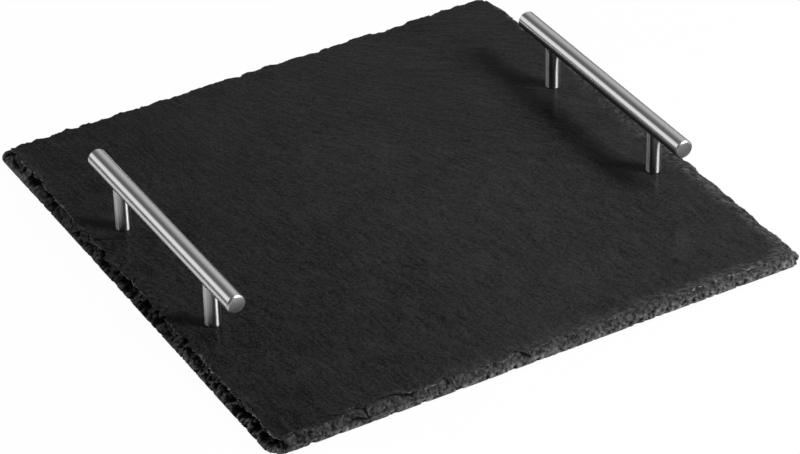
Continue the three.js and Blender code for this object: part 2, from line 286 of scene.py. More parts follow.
# %% [markdown]
# The stations run round the board anticlockwise from the front left corner. Each has a place on the
# outline, a direction that faces out, and a partner on a square further in, where the even grid of
# the top begins.

# %% Stations round the slate's outline
STATIONS_PER_SIDE = 640
INNER_MARGIN = 14 * MM
OUTLINE_RADIUS = 8.2 * MM

slate_lo, slate_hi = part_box("slate_board")
half = (slate_hi - slate_lo) / 2
station_at, station_out, station_in = [], [], []
for side in range(4):
    quarter = math.radians(90) * (side - 1)
    out = np.array([math.cos(quarter), math.sin(quarter)])
    on = np.array([-math.sin(quarter), math.cos(quarter)])
    reach, length = (half.y, half.x) if side % 2 == 0 else (half.x, half.y)
    straight = length - OUTLINE_RADIUS
    for step in range(STATIONS_PER_SIDE):
        share = 2 * step / STATIONS_PER_SIDE - 1
        run = share * (straight + OUTLINE_RADIUS * math.pi / 4)
        turn = max(abs(run) - straight, 0) / OUTLINE_RADIUS * (1 if run > 0 else -1)
        normal = out * math.cos(turn) + on * math.sin(turn)
        centre = out * (reach - OUTLINE_RADIUS) + on * max(-straight, min(straight, run))
        station_at.append(centre + OUTLINE_RADIUS * normal)
        station_out.append(normal)
        station_in.append(out * (reach - INNER_MARGIN) + on * share * (length - INNER_MARGIN))
station_at, station_out, station_in = (np.array(rows) for rows in (station_at, station_out, station_in))
station_x, station_y = station_at.T
stations = len(station_at)
whole_run = 4 * (half.x + half.y)
along_edge = np.arange(stations) * whole_run / stations
print(stations, "stations,", round(along_edge[1] / MM, 2), "mm apart")

# %% [markdown]
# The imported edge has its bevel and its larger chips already. A ray shot inwards at each station, at many
# heights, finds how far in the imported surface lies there, the way a feeler gauge would, and the dense edge
# then follows what the rays found.

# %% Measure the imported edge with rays
LEVELS = 21
RAY_START = 2 * MM
RIM_MARGIN = 0.02 * MM
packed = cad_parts["slate_board"].data
tree_of_faces = BVHTree.FromPolygons([v.co for v in packed.vertices], [p.vertices for p in packed.polygons])
level_z = np.linspace(slate_lo.z, slate_hi.z, LEVELS)
inset = np.zeros((LEVELS, stations))
for level, z in enumerate(level_z):
    z = min(max(z, slate_lo.z + RIM_MARGIN), slate_hi.z - RIM_MARGIN)
    for s in range(stations):
        start = station_at[s] + station_out[s] * RAY_START
        inwards = Vector((-station_out[s][0], -station_out[s][1], 0))
        hit = tree_of_faces.ray_cast(Vector((start[0], start[1], z)), inwards)
        inset[level, s] = hit[3] - RAY_START if hit[0] else inset[level - 1, s]
print("packed edge inset from", round(inset.min() / MM, 2), "to", round(inset.max() / MM, 2), "mm")

# %% [markdown]
# Struck slate cracks where a flake was about to come off. The cracks run over the rim, from the top
# down the edge, so both use them. Each is a straight stroke from one point to the next, made uneven by
# a small swell.

# %% Cracks of the edge
# From and to, each as the run along the edge and the way in from the rim, in mm. Below 0 is down the edge.
CRACKS = (
    (12.5, 2.2, 14.2, -1.6), (45, 3, 49.5, 0.8), (50, 3.2, 50.5, -4.4), (43, -3.2, 50, -4.3),
    (55, 3.2, 62, 3.2), (62, 3.2, 69, 1.0), (69, 1.0, 75.5, -1.8), (32, 5, 40, 2.2),
    (93.5, 2.5, 95.5, -1.8), (134.5, 1.6, 139.8, -2.6), (1050, -1.6, 1044, 2), (938, 1.6, 941, 0.6),
    (1127, 1.5, 1131, -1.5),
)
CRACK_WIDTH, CRACK_WALL = 0.85 * MM, 0.35 * MM


def off_stroke(x, y, x_1, y_1, x_2, y_2):
    """How far each point lies from a straight stroke between two points."""
    run_x, run_y = x_2 - x_1, y_2 - y_1
    on = np.clip(((x - x_1) * run_x + (y - y_1) * run_y) / (run_x ** 2 + run_y ** 2), 0, 1)
    return np.hypot(x - x_1 - on * run_x, y - y_1 - on * run_y)


def cracks(run, across):
    """How much a point this far along the edge, and this far in from the rim, lies in a crack: 0 to 1."""
    wander = 0.7 * MM * (swell(run, across, 2.0 * MM, 91) - 0.5)
    found = np.zeros(np.broadcast(run, across).shape)
    for stroke in np.array(CRACKS) * MM:
        away = off_stroke(run, across, *stroke)
        found = np.maximum(found, np.clip((CRACK_WIDTH - away + wander) / CRACK_WALL, 0, 1))
    return found


print(len(CRACKS), "cracks over the rim")

# %% [markdown]
# A dressed slate edge isn't the same all over, so each kind of break has its own place. These shares, from
# 0 to 1, say how much a station faces each side, how near it is to a corner or an end, and how high up the
# edge a point lies. With them each break fades in and out, as it does under a hand that moves along.

# %% Shares of the edge
SIDE_RUN = 300  # along one side, in mm
along, rise = np.meshgrid(along_edge, level_z - slate_lo.z)
no_rise = 0 * rise
share = rise / (slate_hi.z - slate_lo.z)
facing_x, facing_y = station_out.T
on_left, on_right, on_front, on_rear = (
    np.clip(facing, 0, 1) ** 2 for facing in (-facing_x, facing_x, -facing_y, facing_y))
rear_left = on_left * grows(station_y, -20 * MM, 80 * MM)
front_left = on_left * fades(station_y, -30 * MM, 60 * MM)
right_end = on_front * grows(station_x, 60 * MM, 50 * MM)
upper_left = on_front * fades(station_x, 30 * MM, 120 * MM) * grows(share, 0.45, 0.15)
lip_top = 0.65 - 0.22 * on_front * fades(station_x, 45 * MM, 90 * MM)
low_lip = fades(share, lip_top, 0.3)
corner_run = along_edge / MM % SIDE_RUN
off_corner = grows(np.minimum(corner_run, SIDE_RUN - corner_run), 5, 8)
front_corner = np.clip(1.8 - np.minimum(along_edge, whole_run - along_edge) / (5 * MM), 0, 1)
struck = swell(along, no_rise, 13 * MM, 99)
print("stations on the left:", int((on_left > 0.5).sum()),
      "and at the right end:", int((right_end > 0.5).sum()))

# %% [markdown]
# The bevel is made of broad flat breaks, and its lower lip is fluted by many small blows. The right and the
# rear have a scalloped outline. The left side was struck hardest: it is hollowed out under its top edge,
# with lumps and deep dark holes. Three of the four corners are worn rounder than the last.

# %% Chipped edge
# Place along the edge, wear and its reach, in mm. The first and the last are the same corner.
WORN_CORNERS = ((0, 1.3, 12), (300, 2.2, 12), (600, 4.2, 18), (1200, 1.3, 12))
BEVEL_LENGTH = 6.9 * MM  # from the foot up the slope to the rim

slanted = (along - (1.2 - 3.0 * on_left) * rise
           + (2 + 3 * on_left) * MM * (swell(along, rise, 7 * MM, 98) - 0.5))
hollow = 1 - (1 - grows(share, 0.1, 0.9)) ** (1 + 1.3 * on_left)
rim_inset = inset[-1] + 0.7 * on_left * (inset[-1].mean() - inset[-1])
bevel = inset[0] + (rim_inset - inset[0]) * hollow
breaks = scars(along - 0.3 * rise, rise, 8 * MM, 4.5 * MM, 3) - 0.5
scallops = (2.6 * MM * np.maximum(scoops(along, no_rise, 7 * MM, 1.0, 53) - 0.3, 0)
            + 1.0 * MM * scoops(along, no_rise, 3 * MM, 1.0, 57)) * (on_right + 0.7 * on_rear) * off_corner
ribs = scoops(slanted, rise, 2.3 * MM, 2.6 * MM, 13) * (0.15 + 0.85 * low_lip) * (1 - on_left)
chips = scars(along, rise, 1.5 * MM, 1.0 * MM, 23) - 0.5
lumps = np.maximum(scoops(slanted, rise, 3.6 * MM, 1.9 * MM, 63),
                   0.8 * scoops(along + 0.6 * rise, rise, 1.5 * MM, 1.1 * MM, 67))
lump_share = on_left * (1 - 0.55 * grows(station_y, 50 * MM, 50 * MM))
notched = off_corner * grows(swell(along, no_rise, 5 * MM, 100), 0.6, 0.12)
under_rim = grows(share, 0.2, 0.25) * np.clip((1 - share) / 0.12 + 0.55 * notched, 0, 1) * on_left
ragged = 0.6 * swell(along + rise, 1.6 * rise, 10 * MM, 33) + 0.4 * swell(along, 1.6 * rise, 3.5 * MM, 34)
corner_hole = (front_corner * grows(share, 0.3, 0.2) * fades(share, 1, 0.12)
               * np.clip(2 * swell(along, rise, 3 * MM, 102), 0, 1))
holes = np.maximum(under_rim * grows(ragged, 0.48, 0.1), corner_hole)
bites = fades(share, 0.35, 0.25) * (
    1.7 * MM * off_corner * np.maximum(scoops(along, no_rise, 4.5 * MM, 1.0, 47) - 0.35, 0) - inset[0]
    + 0.5 * MM * (swell(along, no_rise, 2.2 * MM, 101) - 0.4 - 0.7 * on_left))
worn = sum(wear * MM * np.clip(1 - np.abs(along_edge / MM - at) / reach, 0, 1) ** 1.5
           for at, wear, reach in WORN_CORNERS)
cracked = cracks(along, (share - 1) * BEVEL_LENGTH)
edge_inset = (0.1 * inset + 0.9 * bevel + 0.5 * MM * breaks * (1 - 0.8 * on_left + on_rear) + scallops
              + (0.4 + 0.8 * struck) * (0.25 + 0.75 * off_corner) * MM * (ribs - 0.3)
              + 0.9 * MM * lump_share * (lumps - 0.48)
              + 0.4 * MM * chips * (0.6 + 0.5 * low_lip + 0.8 * on_left) + 3.0 * MM * holes + bites + worn
              + 0.5 * MM * cracked - 0.43 * MM * (1 - on_left))
edge_inset = np.maximum(edge_inset, 0)
edge_at = station_at[None] - station_out[None] * edge_inset[..., None]
print("dressed edge inset up to", round(edge_inset.max() / MM, 2), "mm, at the foot",
      np.round(np.percentile(edge_inset[0] / MM, (10, 50, 75, 90)), 2).tolist())

# %% [markdown]
# Crushed stone is paler than split stone. Each point of the edge gets a number for how far it stands out,
# which the colour uses: the ridges turn pale, as crushed stone and as painted highlights, and the hollows,
# holes and cracks are painted black, as painted shade. The foot of the front is bruised paler still, with
# painted highlights on its ridges, and the left side is darker to the front than to the rear.

# %% Tone of the chipped edge, with painted shade and highlights
BLUR_STATIONS = range(-5, 6)
blurred = sum(np.roll(edge_inset, k, axis=1) for k in BLUR_STATIONS) / len(BLUR_STATIONS)
# Painted light and shade on the fluted lip: pale ridges and dark grooves.
rib_light_and_shade = (0.45 + 0.7 * struck) * (1 - 0.35 * right_end) * low_lip * (1 - on_left) * (0.45 - ribs)
# Painted shade: points deeper than their neighbours, holes and chip floors are made darker.
stands_out_and_shade = (rib_light_and_shade + 1.7 * lump_share * (0.5 - lumps) - holes - chips * (0.5 - 0.1 * low_lip)
              + 0.4 * (blurred - edge_inset) / MM)
paler_right = 0.16 * (station_x / half.x - 0.6) * on_front * (1 - 0.6 * low_lip)
edge_proud = np.clip(0.38 - 0.1 * grows(share, 0.5, 0.3) + stands_out_and_shade + paler_right + 0.16 * upper_left
                     - 0.02 * on_left + 0.16 * rear_left - 0.2 * front_left * fades(share, 0.7, 0.2)
                     + (0.1 + 0.2 * on_left) * fades(share, 0.35, 0.3), 0, 1) * (1 - cracked) ** 2
# Pale crushed stone on the lip's ridges, partly a painted highlight.
edge_bruise_and_highlight = ((0.3 - 0.15 * right_end) * low_lip * (1 - on_left) * fades(ribs, 0.3, 0.15)
               * np.clip(2 * struck - 0.5, 0, 1))
edge_broken = np.clip(0.65 + low_lip + on_left + cracked, 0, 1)
print("tone of the edge:", round(float(edge_proud.mean()), 2), "on average")

# %% [markdown]
# The top is nearly flat, so that plates and cheese sit level, but split stone always has a slow roll and a
# few thin steps where one layer gives way to the next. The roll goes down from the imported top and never
# above it. It fades out round the legs, the screws and the feet, which bear on the stone. One long cleft
# shows behind the left handle, where a whole sheet ends.

# %% Relief of the two split faces
TOP_KIND, UNDERSIDE_KIND = 40, 60
BEARING_MARGIN, BEARING_FADE = 1.5 * MM, 6 * MM
# The cleft's course over the top, in mm.
CLEFT = ((-147, 48), (-141, 44.5), (-133, 40), (-126, 37), (-117, 31))
bearing_spots = []
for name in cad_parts:
    if name.endswith(("_post", "_foot")):
        lo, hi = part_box(name)
        bearing_spots.append(((lo.x + hi.x) / 2, (lo.y + hi.y) / 2, (hi.x - lo.x) / 2))


def relief(x, y, kind):
    """How far the split face lies below its highest level."""
    roll = 0.3 * MM * swell(x, y, 70 * MM, kind) + 0.16 * MM * swell(x, y, 22 * MM, kind + 1)
    layers = swell(x, y, 60 * MM, kind + 2) * 3 + 0.5 * swell(x, y, 9 * MM, kind + 3)
    edge = layers - np.floor(layers)
    steps = 0.12 * MM * (np.floor(layers) + np.clip(edge / 0.04, 0, 1)) / 3
    fade = np.ones_like(x)
    for cx, cy, radius in bearing_spots:
        away = np.hypot(x - cx, y - cy)
        fade = np.minimum(fade, np.clip((away - radius - BEARING_MARGIN) / BEARING_FADE, 0, 1))
    return (roll + steps) * fade * fade * (3 - 2 * fade)


def cleft(x, y):
    """How much a point of the top lies in the long cleft: 0 to 1."""
    found = np.zeros_like(x)
    for start, end in zip(CLEFT[:-1], CLEFT[1:]):
        away = off_stroke(x / MM, y / MM, *start, *end)
        found = np.maximum(found, np.clip(1.3 - away, 0, 1))
    return found * (0.55 + 0.45 * swell(x, y, 4 * MM, 44))


print("relief at the middle", round(float(relief(np.zeros(1), np.zeros(1), TOP_KIND)[0] / MM), 2), "mm")

# %% [markdown]
# Where a blow lifted a thin flake off the top, it left a shallow shelf with a curved back wall, which often
# ends in a crack, painted dark as painted shade. The largest are on the front, most of them near its left
# corner, and two are on the left side. In between, the sharp top edge is bruised to a pale, broken line, as
# on any dressed slate, and the line is also a painted glint.

# %% Flake shelves, bruises and painted glints of the top edge
FLAKE_PITCH = 10 * MM
# The largest flakes: middle along the edge, half length and reach, in mm.
LARGE_FLAKES = ((8, 5, 5), (45, 6, 4), (66, 11, 4), (93, 6, 3.5), (136, 6, 3), (1006, 6, 4), (1168, 8, 4))
LARGE_FLAKE_DEPTH = 0.4 * MM
flake_cells = round(whole_run / FLAKE_PITCH)


def flakes(inward):
    """The depth of the flake shelves this far in from the rim."""
    ragged = (0.5 * (swell(along_edge, inward, 2.5 * MM, 83) - 0.5)
              + 0.3 * (swell(along_edge, inward, 1.0 * MM, 84) - 0.5))
    found = [(along_edge - at * MM, length * MM, reach * MM, LARGE_FLAKE_DEPTH)
             for at, length, reach in LARGE_FLAKES]
    for k in (-1, 0, 1):
        cell = np.floor(along_edge / FLAKE_PITCH) + k
        shift, size_1, size_2, drop = (scatter(cell % flake_cells, row, 81) for row in (1, 2, 3, 4))
        middle = (cell + 0.1 + 0.8 * shift) * FLAKE_PITCH
        found.append((along_edge - middle, (1.5 + 4 * size_1) * MM, (0.4 + 2.6 * size_2 ** 2) * MM,
                      (0.15 + 0.3 * drop) * MM * (1 - 0.7 * on_left)))
    depth = np.zeros(stations)
    for away, length, reach, drop in found:
        inside = 1 - (away / length) ** 2 - (inward / reach) ** 2 + ragged
        depth = np.maximum(depth, drop * np.clip(inside / 0.2, 0, 1))
    return depth


edge_run = along_edge / MM
patch = 0.6 * swell(edge_run, 0 * edge_run, 5, 71) + 0.5 * swell(edge_run, 0 * edge_run, 17, 72)
front_run = on_front * np.clip(1.5 - np.abs(station_x / MM - 97) / 20, 0, 1)
# Painted glint: the pale dotted line along the rim is bruised stone and also a painted glint.
bruised_run = np.clip((patch - 0.6 + 0.25 * front_run + 0.45 * on_left - 0.35 * front_left) / 0.15, 0, 1)
bruised_dots = np.clip((swell(edge_run, 0 * edge_run, 1.0, 73) - 0.5 + 0.05 * on_left) / 0.2, 0, 1)
bruise = (0.35 + 0.35 * on_left + 0.28 * front_run) * bruised_run * bruised_dots
print("flakes up to", round(float(flakes(0).max() / MM), 2), "mm deep, bruised share",
      round(float(bruise.mean()), 2))

# %% [markdown]
# The top is scuffed paler near its front and right rims, most at the corner between them, where it
# was handled most. Crumbs of crushed stone lie along the bruised stretches of the rim, most of them
# on the left.

# %% Scuffs and crumbs on the top
SCUFF_REACH, CRUMB_REACH = 12 * MM, 2 * MM
to_right_end = station_x / half.x
scuff = ((on_front + on_right * np.clip(0.5 - station_y / half.y, 0, 1))
         * (0.5 * grows(to_right_end, -0.9, 1.6) + 0.5 * grows(to_right_end, 0.3, 0.5))
         + 0.25 * on_left - 0.2 * front_left)
crumbled = (0.12 * on_front + 0.38 * on_left) * grows(patch, 0.45, 0.3)


def scuffs(inward):
    """How scuffed the top is this far in from the rim."""
    near = np.clip(0.5 + inward / (2 * MM), 0, 1) * np.clip(1 - inward / SCUFF_REACH, 0, 1) ** 1.5
    return scuff * near * 2.4 * swell(along_edge, inward, 1.4 * MM, 95) ** 2


def crumbs(inward):
    """How much crushed stone lies this far in from the rim."""
    near = np.clip(1 - inward / CRUMB_REACH, 0, 1)
    return crumbled * near * grows(swell(along_edge, inward, 1.2 * MM, 96), 0.55, 0.25)


print("scuffed up to", round(float(scuffs(MM * np.ones(stations)).max()), 2), "at 1 mm from the rim")

# %% [markdown]
# The mesh is one closed skin. Bands of small flat faces go round the edge, and each point carries three
# marks for the colour: broken; proud, which also paints shade into hollows and cracks; and bruised, which
# also paints highlights and glints on the ridges and the rim.

# %% Bands of the slate's edge
here = np.arange(stations)
next_station = np.roll(here, -1)


def band(low, high):
    """Faces between two rows of stations, each row given by the index of its first point."""
    return np.stack([low + here, low + next_station, high + next_station, high + here], axis=1)


top_rim = slate_hi.z - relief(*edge_at[-1].T, TOP_KIND) - flakes(0)
bottom_rim = slate_lo.z + relief(*edge_at[0].T, UNDERSIDE_KIND)
points = [np.column_stack([edge_at[k], bottom_rim + (top_rim - bottom_rim) * k / (LEVELS - 1)])
          for k in range(LEVELS)]
marks = {"broken": list(edge_broken), "proud": list(edge_proud), "bruised": list(edge_bruise_and_highlight[:-1]) + [bruise]}
flat_faces, smooth_faces = [], []
for level in range(LEVELS - 1):
    flat_faces += band(level * stations, (level + 1) * stations).tolist()
print(len(flat_faces), "faces round the edge")

# %% [markdown]
# From each rim, rings of faces go inwards. They carry the flakes, cracks and scuffs, so they are fine, and
# the first ones are flat-sided as the edge is. Further in, an even grid covers the rest of the face.

# %% The two split faces
TOP_RINGS, UNDERSIDE_RINGS, FLAT_RINGS = 22, 6, 18
RING_SHARE = 0.9  # of the way from the rim to the even grid
CRACK_DEPTH = 0.15 * MM


def add_points(xy, z, **point_marks):
    """Add a run of points with their marks, and return the index of the first."""
    first = sum(len(p) for p in points)
    points.append(np.column_stack([xy, z]))
    for name in marks:
        marks[name].append(np.zeros(len(xy)) + point_marks.get(name, 0))
    return first


def cover(level, face_z, down, kind, rings, halvings):
    """Cover a face: rings in from the rim, then rings with half the points each time, then an even grid."""
    flip = slice(None) if down < 0 else slice(None, None, -1)
    rim, outer = edge_at[level], level * stations
    top = float(down < 0)
    for count in range(rings):
        ring = rim + (station_in - rim) * RING_SHARE * (count + 1) / rings
        inward = np.hypot(*(ring - rim).T)
        depth, crack = flakes(inward), np.maximum(cracks(along_edge, inward), cleft(*ring.T))
        z = face_z + down * (relief(*ring.T, kind) + top * (depth + CRACK_DEPTH * crack))
        pale = np.maximum(0.14 * np.clip(depth / (0.1 * MM), 0, 1), scuffs(inward))
        # Painted shade: a crack is painted black through these marks.
        inner = add_points(ring, z, broken=top * np.maximum(pale, crack), proud=0.55 * (1 - crack) ** 4,
                           bruised=top * crumbs(inward))
        faces = flat_faces if count < FLAT_RINGS * top else smooth_faces
        faces.extend(band(outer, inner)[:, flip].tolist())
        outer = inner
    fine_ring = outer + here
    for halving in range(1, halvings + 1):
        step = 2 ** halving
        if halving < halvings:
            ring = rim[::step] + (station_in[::step] - rim[::step]) * (RING_SHARE + 0.05 * halving)
            coarse = add_points(ring, face_z + down * relief(*ring.T, kind)) + np.arange(stations // step)
        else:
            cells = STATIONS_PER_SIDE // step
            x, y = np.meshgrid(np.linspace(-1, 1, cells + 1) * (half.x - INNER_MARGIN),
                               np.linspace(-1, 1, cells + 1) * (half.y - INNER_MARGIN), indexing="ij")
            xy = np.column_stack([x.ravel(), y.ravel()])
            # Painted shade: the cleft is painted black through its broken mark.
            crack = top * cleft(*xy.T)
            first = add_points(xy, face_z + down * (relief(*xy.T, kind) + CRACK_DEPTH * crack), broken=crack)
            index = first + np.arange((cells + 1) ** 2).reshape(cells + 1, cells + 1)
            square = np.stack([index[:-1, :-1], index[1:, :-1], index[1:, 1:], index[:-1, 1:]], axis=-1)
            smooth_faces.extend(square.reshape(-1, 4)[:, flip].tolist())
            coarse = np.concatenate([index[:-1, 0], index[-1, :-1], index[:0:-1, -1], index[0, :0:-1]])
        even, odd, even_next = fine_ring[::2], fine_ring[1::2], np.roll(fine_ring[::2], -1)
        coarse_next = np.roll(coarse, -1)
        for three in ((even, odd, coarse), (odd, coarse_next, coarse), (odd, even_next, coarse_next)):
            smooth_faces.extend(np.stack(three, axis=1)[:, flip].tolist())
        fine_ring = coarse


cover(LEVELS - 1, slate_hi.z, -1, TOP_KIND, TOP_RINGS, 1)
cover(0, slate_lo.z, 1, UNDERSIDE_KIND, UNDERSIDE_RINGS, 2)
print(len(flat_faces), "flat faces and", len(smooth_faces), "smooth ones")

# %% [markdown]
# All the points and faces now join into one board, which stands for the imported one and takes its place.

# %% Dressed slate
slate_mesh = bpy.data.meshes.new("dressed_slate")
slate_mesh.from_pydata(np.concatenate(points), [], flat_faces + smooth_faces)
slate_mesh.polygons.foreach_set("use_smooth", [False] * len(flat_faces) + [True] * len(smooth_faces))
for name, values in marks.items():
    slate_mesh.attributes.new(name, "FLOAT", "POINT").data.foreach_set("value", np.concatenate(values))
slate_mesh.materials.append(riven_slate)
slate = bpy.data.objects.new("dressed_slate", slate_mesh)
bpy.context.collection.objects.link(slate)
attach(slate, "root")
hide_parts("slate_board")
print("dressed slate:", len(slate_mesh.vertices), "points,", len(slate_mesh.polygons), "faces")

# %% [markdown]
# The slate is drilled through under each leg, a little wider than the screw. A cutter of four plain rods
# takes the holes out of the dense board, as the drill does.

# %% Screw holes
HOLE_RADIUS, HOLE_SIDES = 2.5 * MM, 48
DRILL_PAST = 2 * MM  # above and below the board
ring = np.arange(HOLE_SIDES)
hole_turn = ring * 2 * math.pi / HOLE_SIDES
drill_points, drill_faces = [], []
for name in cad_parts:
    if name.endswith("_post"):
        lo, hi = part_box(name)
        mid_x, mid_y = (lo.x + hi.x) / 2, (lo.y + hi.y) / 2
        first = len(drill_points)
        for z in (slate_lo.z - DRILL_PAST, slate_hi.z + DRILL_PAST):
            drill_points += [(mid_x + HOLE_RADIUS * math.cos(t), mid_y + HOLE_RADIUS * math.sin(t), z)
                             for t in hole_turn]
        wall = np.stack([ring, np.roll(ring, -1), np.roll(ring, -1) + HOLE_SIDES, ring + HOLE_SIDES], axis=1)
        drill_faces += (first + wall).tolist()
        drill_faces += [(first + ring[::-1]).tolist(), (first + HOLE_SIDES + ring).tolist()]
drill_mesh = bpy.data.meshes.new("drill")
drill_mesh.from_pydata(drill_points, [], drill_faces)
drill = bpy.data.objects.new("drill", drill_mesh)
bpy.context.collection.objects.link(drill)
drilling = slate.modifiers.new("screw_holes", "BOOLEAN")
drilling.object, drilling.operation, drilling.solver = drill, "DIFFERENCE", "MANIFOLD"
drilled = bpy.data.meshes.new_from_object(slate.evaluated_get(bpy.context.evaluated_depsgraph_get()))
slate.modifiers.clear()
slate.data = drilled
bpy.data.objects.remove(drill)
bpy.data.meshes.remove(drill_mesh)
bpy.data.meshes.remove(slate_mesh)
drilled.name = "dressed_slate"
print("drilled slate:", len(drilled.vertices), "points,", len(drilled.polygons), "faces,",
      [a.name for a in drilled.attributes])

# %% [markdown]
# The bars and legs are cut from drawn stainless rod and ground on a belt while they turn, so very fine
# scratches run round them. That gives a satin metal whose highlights stretch along the rod: the shader gets
# strong anisotropy about the rod's own axis, and noise drawn out round the rod for the scratches.

# %% Satin stainless steel
def satin_steel(name, axis, roughness, stretch):
    """Ground stainless rod, with its scratches running round this axis."""
    material, tree = new_material(name)
    place = add_node(tree, "TexCoord").outputs["Object"]
    # Grinding lines are about 0.05 mm apart; they are drawn at 0.4 mm here, so that they show at all.
    fine, long = 1 / (0.4 * MM), 1 / (12 * MM)
    scale = [fine if a == axis else long for a in "XYZ"]
    lines = add_node(tree, "VectorMath", {0: place, 1: scale}, operation="MULTIPLY").outputs[0]
    scratches = add_node(tree, "TexNoise", {"Vector": lines, "Scale": 1.0, "Detail": 2.0}).outputs[0]
    colour = add_node(tree, "Mix", {0: scratches, 6: linear("#c4c4c4"), 7: linear("#cccccc")},
                      data_type="RGBA").outputs[2]
    rough = add_node(tree, "MapRange", {
        0: scratches, 1: 0.3, 2: 0.7, 3: roughness - 0.01, 4: roughness + 0.01,
    }).outputs[0]
    tangent = add_node(tree, "Tangent", direction_type="RADIAL", axis=axis).outputs[0]
    shader = add_node(tree, "BsdfPrincipled", {
        "Base Color": colour, "Metallic": 1.0, "Roughness": rough, "Anisotropic": stretch,
        "Anisotropic Rotation": 0.25, "Tangent": tangent,
    }).outputs[0]
    add_node(tree, "OutputMaterial", {0: shader})
    return material


bar_steel = satin_steel("satin_stainless_bar", "Y", 0.26, 0.8)
end_steel = satin_steel("faced_stainless_end", "Y", 0.42, 0.0)
post_steel = satin_steel("satin_stainless_leg", "Z", 0.34, 1.0)
print("made", bar_steel.name, end_steel.name, "and", post_steel.name)

# %% [markdown]
# Turned pieces are skinned from rings about an axis. A bar has a flat end with a small chamfer, and
# each edge of the chamfer is softened by a very small radius, because a perfectly sharp edge never
# catches the light.

# %% Turned bars
def turned(name, rings, material, node):
    """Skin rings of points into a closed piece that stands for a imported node."""
    around = len(rings[0])
    here = np.arange(around)
    there = np.roll(here, -1)
    wall = np.stack([here, there, there + around, here + around], axis=1)
    faces = [list(reversed(range(around)))]
    for r in range(len(rings) - 1):
        faces += (wall + r * around).tolist()
    faces.append(list(range((len(rings) - 1) * around, len(rings) * around)))
    mesh = bpy.data.meshes.new(name)
    mesh.from_pydata(np.concatenate(rings), [], faces)
    mesh.polygons.foreach_set("use_smooth", [False] + [True] * (len(faces) - 2) + [False])
    mesh.set_sharp_from_angle(angle=math.radians(35))
    mesh.materials.append(material)
    piece = bpy.data.objects.new(name, mesh)
    bpy.context.collection.objects.link(piece)
    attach(piece, "root")
    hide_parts(node)
    return piece


BAR_SEGMENTS = 128
END_CHAMFER = 0.8 * MM
turn = np.arange(BAR_SEGMENTS) * 2 * math.pi / BAR_SEGMENTS
for side in ("left", "right"):
    lo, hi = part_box(side + "_handle_bar")
    radius, mid = (hi.z - lo.z) / 2, (lo + hi) / 2
    end_profile = [(radius - END_CHAMFER - 0.06 * MM, 0), (radius - END_CHAMFER + 0.05 * MM, 0.03 * MM),
                   (radius - 0.06 * MM, END_CHAMFER - 0.08 * MM), (radius, END_CHAMFER + 0.05 * MM),
                   (radius, END_CHAMFER + 0.3 * MM), (radius, END_CHAMFER + 1 * MM)]
    profile = [(r, hi.y - d) for r, d in end_profile] + [(r, lo.y + d) for r, d in reversed(end_profile)]
    rings = [np.column_stack([mid.x + r * np.cos(turn), np.full(BAR_SEGMENTS, y), mid.z + r * np.sin(turn)])
             for r, y in profile]
    bar = turned(side + "_satin_bar", rings, bar_steel, side + "_handle_bar")
    bar.data.materials.append(end_steel)
    for face in bar.data.polygons:
        face.material_index = int(abs(face.normal.y) > 0.4)
    print(bar.name, len(bar.data.vertices), "points")

# %% [markdown]
# Each leg stands on the slate and reaches up under the bar, where its top is coped: cut to a saddle
# that fits the round of the bar. The saddle's height follows the bar's circle, and a bore at each end
# takes a thread.

# %% Coped legs
POST_SEGMENTS = 96
FOOT_CHAMFER = 0.4 * MM
SADDLE_GAP = 0.25 * MM
BORE_RADIUS = 2.1 * MM
STUD_BORE, SCREW_BORE = 6 * MM, 8.5 * MM
turn = np.arange(POST_SEGMENTS) * 2 * math.pi / POST_SEGMENTS
for side in ("left", "right"):
    bar_lo, bar_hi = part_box(side + "_handle_bar")
    bar_radius, bar_z = (bar_hi.z - bar_lo.z) / 2, (bar_hi.z + bar_lo.z) / 2
    for end_name in ("front", "rear"):
        node = side + "_" + end_name + "_post"
        lo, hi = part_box(node)
        radius, mid = (hi.x - lo.x) / 2, (lo + hi) / 2
        shoulder = bar_z - bar_radius - SADDLE_GAP - lo.z
        # Radius and height of each ring. A ring without a height lies on the saddle.
        profile = ((BORE_RADIUS, SCREW_BORE), (BORE_RADIUS, 0), (radius - FOOT_CHAMFER, 0),
                   (radius, FOOT_CHAMFER), (radius, FOOT_CHAMFER + 0.3 * MM),
                   (radius, shoulder - 0.5 * MM), (radius, None),
                   (BORE_RADIUS, None), (BORE_RADIUS, shoulder - STUD_BORE))
        rings = []
        for r, height in profile:
            x = r * np.cos(turn)
            saddle = bar_z - np.sqrt((bar_radius + SADDLE_GAP) ** 2 - x ** 2)
            z = saddle if height is None else np.full(POST_SEGMENTS, lo.z + height)
            rings.append(np.column_stack([mid.x + x, mid.y + r * np.sin(turn), z]))
        turned(side + "_" + end_name + "_satin_leg", rings, post_steel, node)
print("legs of", POST_SEGMENTS, "sides, bar radius", round(bar_radius / MM, 2), "mm")

# %% [markdown]
# The screws, washers and studs are bright zinc-plated steel: a bluish silver, a little cloudy. They are
# seen only from below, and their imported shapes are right, so only the finish is added.

